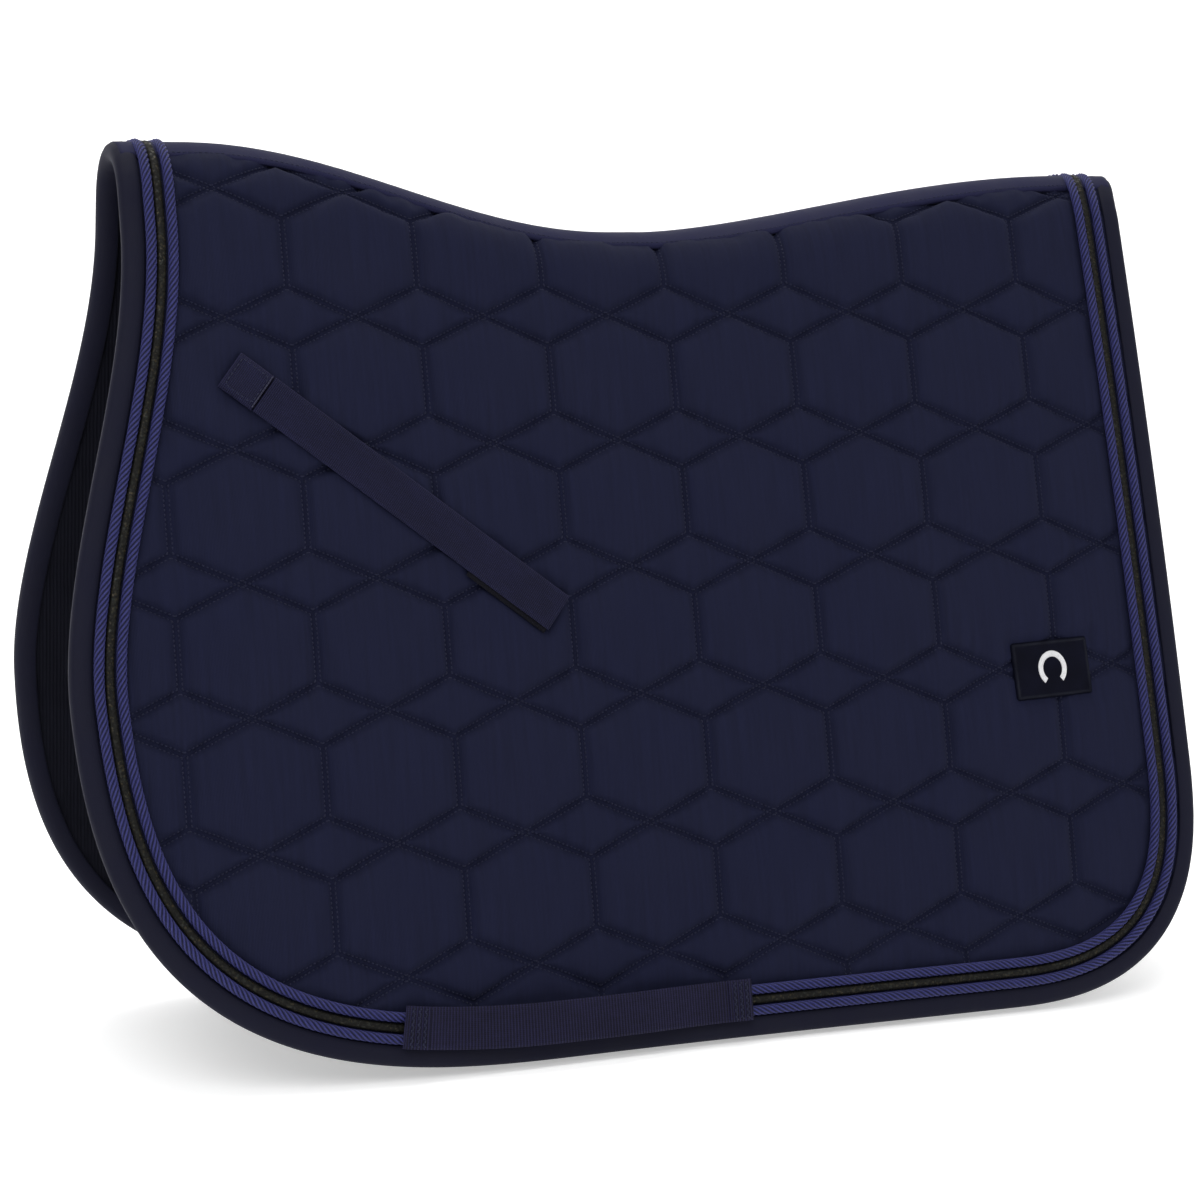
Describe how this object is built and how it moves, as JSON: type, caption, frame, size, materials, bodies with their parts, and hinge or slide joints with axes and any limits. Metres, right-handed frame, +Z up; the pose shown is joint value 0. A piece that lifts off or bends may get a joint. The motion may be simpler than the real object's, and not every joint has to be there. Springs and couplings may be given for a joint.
{
  "type": "saddle pad",
  "caption": "Quilted saddle pad with contoured spine, rounded flaps, twisted cord trim, girth loops and billet straps, hung open as on a horse.",
  "frame": {"origin": "centre of the flat seat on the underside of the spine, at the lowest point of the spine line", "axes": "+Z up, -X towards the horse's head (the withers end), -Y towards the horse's left side"},
  "size_m": [0.7287, 0.2962, 0.5468],
  "materials": {
    "shell": "quilted matt cloth, stitched in diamonds joined by short links",
    "wadding": "soft white wadding",
    "lining": "matt dark lining with a fine rib",
    "binding": "satin-faced folded tape",
    "cord": "twisted rope cord with a soft sheen",
    "braid": "black flat braid with small glitter flecks",
    "webbing": "ribbed woven webbing",
    "tape": "folded twill tape",
    "hook": "hook-and-loop strip",
    "badge": "dark embossed patch",
    "emblem": "white embroidery"
  },
  "bodies": {
    "root": {"spine_tape_outer": "tape", "spine_wadding_bridge": "wadding", "spine_tape_inner": "tape"},
    "left_flap": {"left_outer_shell": "shell", "left_wadding_core": "wadding", "left_lining": "lining", "left_edge_binding": "binding", "left_front_outer_cord": "cord", "left_front_glitter_braid": "braid", "left_front_inner_cord": "cord", "left_rear_outer_cord": "cord", "left_rear_glitter_braid": "braid", "left_rear_inner_cord": "cord", "left_girth_loop": "webbing", "left_girth_loop_front_tab": "webbing", "left_girth_loop_rear_tab": "webbing", "left_strap_anchor": "webbing", "left_loop_strip": "hook", "badge_patch": "badge", "badge_emblem": "emblem"},
    "right_flap": {"right_outer_shell": "shell", "right_wadding_core": "wadding", "right_lining": "lining", "right_edge_binding": "binding", "right_front_outer_cord": "cord", "right_front_glitter_braid": "braid", "right_front_inner_cord": "cord", "right_rear_outer_cord": "cord", "right_rear_glitter_braid": "braid", "right_rear_inner_cord": "cord", "right_girth_loop": "webbing", "right_girth_loop_front_tab": "webbing", "right_girth_loop_rear_tab": "webbing", "right_strap_anchor": "webbing", "right_loop_strip": "hook"},
    "left_strap": {"left_billet_strap": "webbing", "left_hook_strip": "hook"},
    "right_strap": {"right_billet_strap": "webbing", "right_hook_strip": "hook"}
  },
  "joints": [
    {"name": "left_flap_swing", "type": "hinge", "parent": "root", "child": "left_flap", "pos_m": [0, -0.02399, 0.06502], "axis": [-1, 0, 0], "range_deg": [0, 40]},
    {"name": "right_flap_swing", "type": "hinge", "parent": "root", "child": "right_flap", "pos_m": [0, 0.02399, 0.06502], "axis": [1, 0, 0], "range_deg": [0, 40]},
    {"name": "left_strap_lift", "type": "hinge", "parent": "left_flap", "child": "left_strap", "pos_m": [-0.253, -0.06921, -0.08205], "axis": [-0.6185, -0.17, -0.7672], "range_deg": [0, 150]},
    {"name": "right_strap_lift", "type": "hinge", "parent": "right_flap", "child": "right_strap", "pos_m": [-0.253, 0.06921, -0.08205], "axis": [0.6185, -0.17, 0.7672], "range_deg": [0, 150]}
  ]
}
